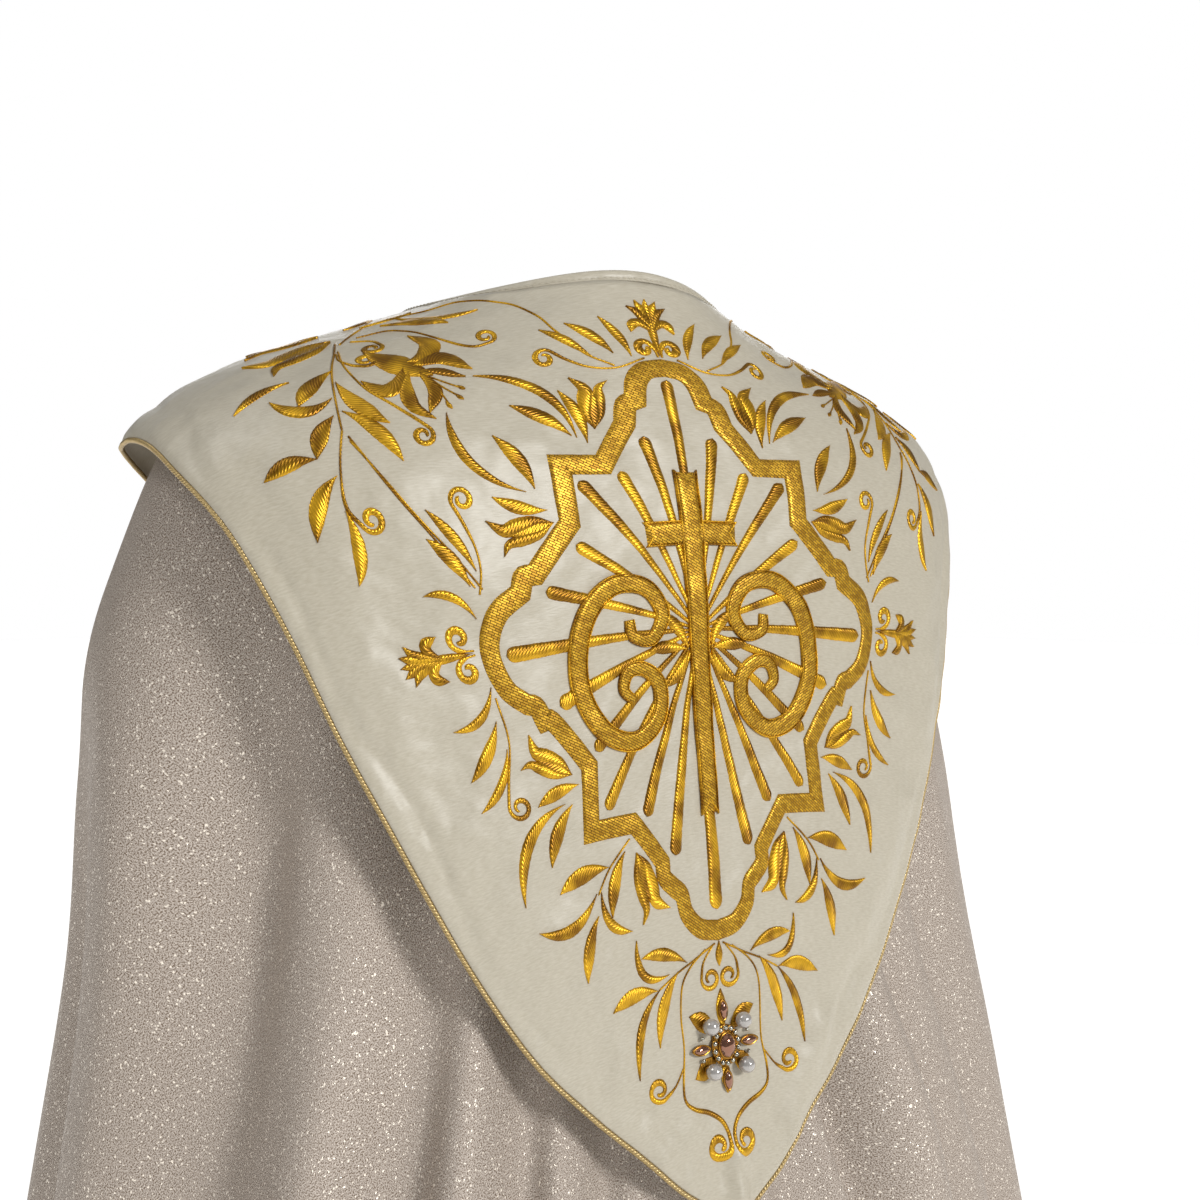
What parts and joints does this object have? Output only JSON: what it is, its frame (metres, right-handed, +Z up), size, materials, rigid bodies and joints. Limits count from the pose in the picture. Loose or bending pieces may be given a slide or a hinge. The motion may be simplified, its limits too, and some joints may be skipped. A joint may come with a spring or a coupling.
{
  "type": "cope vestment",
  "caption": "Hooded ceremonial cope, hollow as worn, with a cord-edged hood, a neck band, a front tab and a jewelled brooch.",
  "frame": {"origin": "middle of the neck opening, level with the neckline at the centre back, where the wearer's neck holds the garment", "axes": "+Z up along the garment's length, +X to the wearer's left, +Y towards the wearer's back"},
  "size_m": [1.0316, 0.786, 1.4313],
  "materials": {
    "mantle_cloth": "champagne crepe with fine metallic glitter",
    "hood_satin": "ivory satin, soft sheen",
    "edge_cord": "gold lurex cord",
    "embroidery": "raised gold metallic satin stitch",
    "gilt": "polished gilt metal",
    "crystal": "faceted champagne crystal",
    "pearl": "pearl"
  },
  "bodies": {
    "root": {"mantle": "mantle_cloth", "hood": "hood_satin", "neck_band": "hood_satin", "front_tab": "hood_satin", "hood_cord": "edge_cord", "brooch_plate": "gilt", "brooch_ring": "gilt", "brooch_stone": "crystal", "brooch_navette_upper": "crystal", "brooch_navette_right": "crystal", "brooch_navette_lower": "crystal", "brooch_navette_left": "crystal", "brooch_pearl_upper_right": "pearl", "brooch_pearl_upper_left": "pearl", "brooch_pearl_lower_right": "pearl", "brooch_pearl_lower_left": "pearl"}
  },
  "joints": []
}
